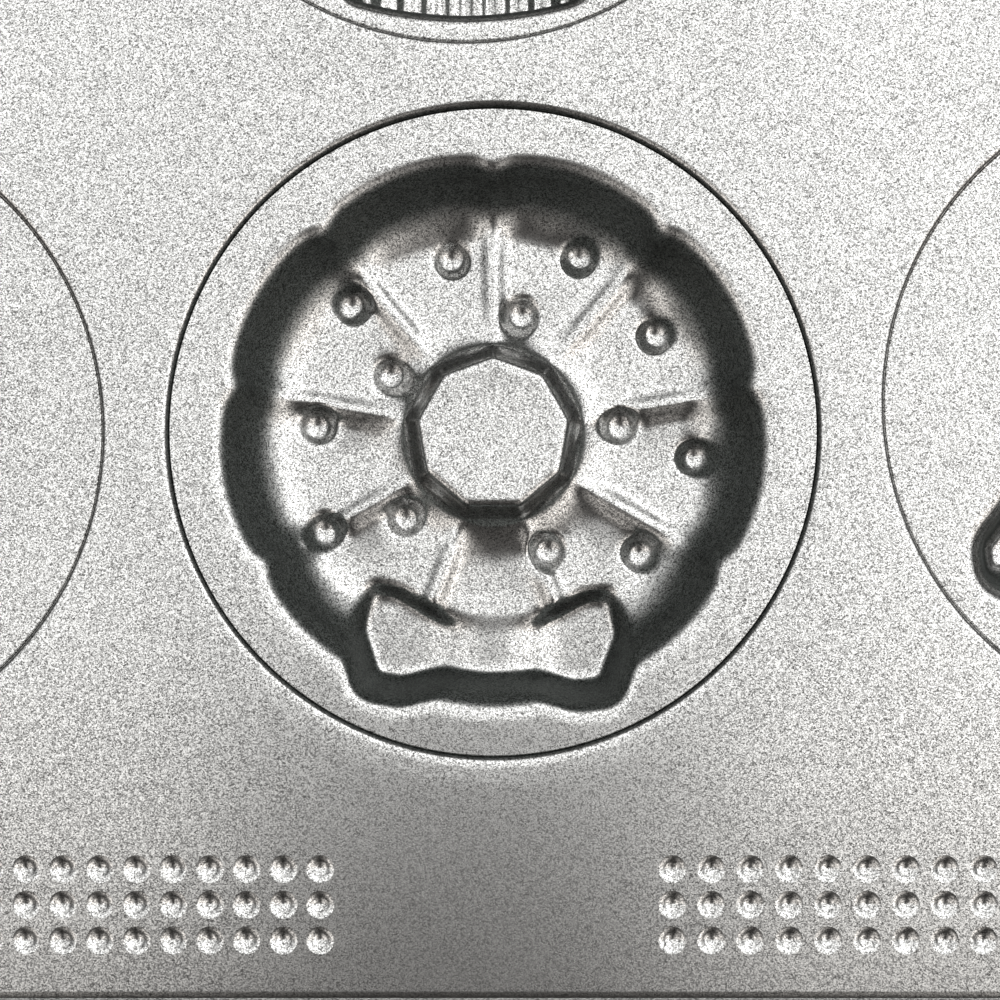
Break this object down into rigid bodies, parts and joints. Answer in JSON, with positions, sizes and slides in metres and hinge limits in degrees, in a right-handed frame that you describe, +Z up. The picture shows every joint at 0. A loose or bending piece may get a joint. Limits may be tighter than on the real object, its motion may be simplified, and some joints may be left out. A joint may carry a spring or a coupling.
{
  "type": "molded cookie pan",
  "caption": "Rectangular steel cookie pan with a wire-rolled rim and round shaped cups seamed into the sheet, each with a holiday figure pocket.",
  "frame": {"origin": "bottom centre of the pan, on the plane that the deepest pockets stand on", "axes": "+X along the long side to the right, +Y to the rear, +Z up out of the pockets; the front edge is at -Y"},
  "size_m": [0.3642, 0.2712, 0.0146],
  "materials": {
    "nonstick": "satin metallic non-stick coating with a fine sparkle",
    "wire": "bare steel, hidden in the rolled rim"
  },
  "bodies": {
    "root": {"frame_sheet": "nonstick", "rim_wire": "wire", "cup_tree": "nonstick", "cup_wreath": "nonstick", "cup_bell": "nonstick", "cup_gingerbread": "nonstick", "cup_mitten": "nonstick", "cup_star": "nonstick"}
  },
  "joints": []
}
